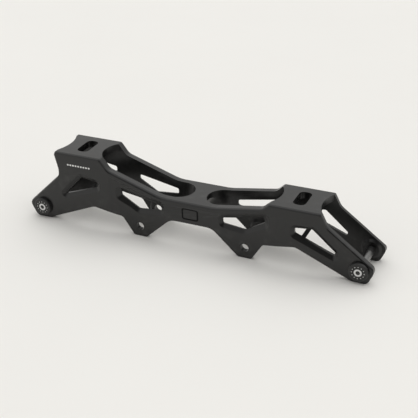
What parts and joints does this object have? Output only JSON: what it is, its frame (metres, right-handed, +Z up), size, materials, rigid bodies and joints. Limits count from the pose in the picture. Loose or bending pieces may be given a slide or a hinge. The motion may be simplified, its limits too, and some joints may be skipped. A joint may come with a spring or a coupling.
{
  "type": "inline skate frame",
  "caption": "One-piece channel frame for an inline skate, with raised heel and toe boot platforms, side windows, empty middle axle holes and screwed axles at its ends.",
  "frame": {"origin": "middle of the overall length and width, at the level of the flats under the axle feet", "axes": "+X towards the toe, +Y across the frame towards the axle screws, +Z up towards the boot"},
  "size_m": [0.2638, 0.0396, 0.056],
  "materials": {
    "anodised_aluminium": "black anodised, satin",
    "axle_metal": "bare shank with a black far end, black head",
    "axle_screw_metal": "black oxide"
  },
  "bodies": {
    "frame": {"frame_channel": "anodised_aluminium"},
    "rear barrel": {"rear_axle_barrel": "axle_metal"},
    "rear screw": {"rear_axle_screw": "axle_screw_metal"},
    "front barrel": {"front_axle_barrel": "axle_metal"},
    "front screw": {"front_axle_screw": "axle_screw_metal"}
  },
  "joints": [
    {"name": "rear_screw_turn", "type": "hinge", "parent": "frame", "child": "rear screw", "pos_m": [-0.1209, 0, 0.009], "axis": [0, 1, 0], "range_deg": [0, 5760]},
    {"name": "rear_barrel_slide", "type": "slide", "parent": "frame", "child": "rear barrel", "axis": [0, -1, 0], "range_m": [0, 0.0112]},
    {"name": "front_screw_turn", "type": "hinge", "parent": "frame", "child": "front screw", "pos_m": [0.1221, 0, 0.009], "axis": [0, 1, 0], "range_deg": [0, 5760]},
    {"name": "front_barrel_slide", "type": "slide", "parent": "frame", "child": "front barrel", "axis": [0, -1, 0], "range_m": [0, 0.0112]}
  ],
  "couplings": [
    {"joint": "rear_screw_turn", "follows": "rear_barrel_slide", "rad_per_m": 8976},
    {"joint": "front_screw_turn", "follows": "front_barrel_slide", "rad_per_m": 8976}
  ]
}
